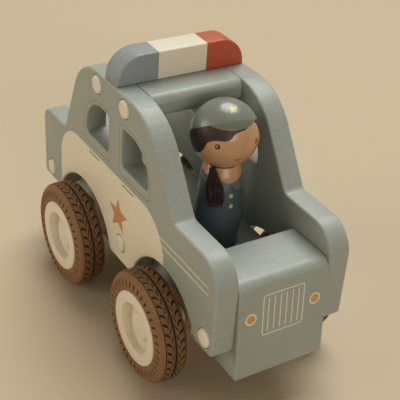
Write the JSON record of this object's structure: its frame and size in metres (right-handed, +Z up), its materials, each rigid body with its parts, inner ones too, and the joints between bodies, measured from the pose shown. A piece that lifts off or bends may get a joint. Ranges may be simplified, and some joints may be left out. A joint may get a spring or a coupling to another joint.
{
  "type": "wooden toy police car with doll",
  "caption": "Wooden toy police car with an open cabin, a roof light bar, rubber-tyred wheels on turning axles and a lift-out driver doll.",
  "frame": {"origin": "on the floor under the middle of the car: the bottom centre of the bounding box", "axes": "+Z up, the front of the car faces -Y, +X is the car's left side"},
  "size_m": [0.1018, 0.1908, 0.1431],
  "materials": {
    "blue_paint": "satin grey-blue paint on solid wood",
    "cream_paint": "satin cream paint on turned wood",
    "tyre_rubber": "matt brown moulded rubber",
    "steel": "plain drawn rod",
    "bare_wood": "clear-lacquered pale wood",
    "skin_paint": "glossy brown paint on a wooden ball",
    "navy_paint": "satin dark slate-blue paint on turned wood",
    "yarn": "dark brown twisted yarn"
  },
  "bodies": {
    "car": {"right_side_panel": "blue_paint", "left_side_panel": "blue_paint", "roof_board": "blue_paint", "floor_board": "blue_paint", "front_block": "blue_paint", "rear_block": "blue_paint", "front_axle_block": "bare_wood", "rear_axle_block": "bare_wood", "light_bar": "cream_paint", "right_roof_pegs": "cream_paint", "left_roof_pegs": "cream_paint", "right_front_peg": "cream_paint", "left_front_peg": "cream_paint", "right_sill_peg": "cream_paint", "left_sill_peg": "cream_paint", "right_rear_peg": "cream_paint", "left_rear_peg": "cream_paint"},
    "front_wheels": {"front_axle": "steel", "front_right_tyre": "tyre_rubber", "front_left_tyre": "tyre_rubber", "front_right_hub": "cream_paint", "front_left_hub": "cream_paint", "front_right_hub_cap": "cream_paint", "front_left_hub_cap": "cream_paint"},
    "rear_wheels": {"rear_axle": "steel", "rear_right_tyre": "tyre_rubber", "rear_left_tyre": "tyre_rubber", "rear_right_hub": "cream_paint", "rear_left_hub": "cream_paint", "rear_right_hub_cap": "cream_paint", "rear_left_hub_cap": "cream_paint"},
    "doll": {"doll_body": "navy_paint", "doll_head": "skin_paint", "doll_neck_pin": "bare_wood", "doll_ponytail": "yarn", "doll_hair_tie": "yarn"}
  },
  "joints": [
    {"name": "front_axle_spin", "type": "hinge", "parent": "car", "child": "front_wheels", "pos_m": [0, -0.0455, 0.02825], "axis": [1, 0, 0], "continuous": true},
    {"name": "rear_axle_spin", "type": "hinge", "parent": "car", "child": "rear_wheels", "pos_m": [0, 0.041, 0.02825], "axis": [1, 0, 0], "continuous": true},
    {"name": "doll_lift", "type": "slide", "parent": "car", "child": "doll", "axis": [0, 0, 1], "range_m": [0, 0.08]}
  ]
}
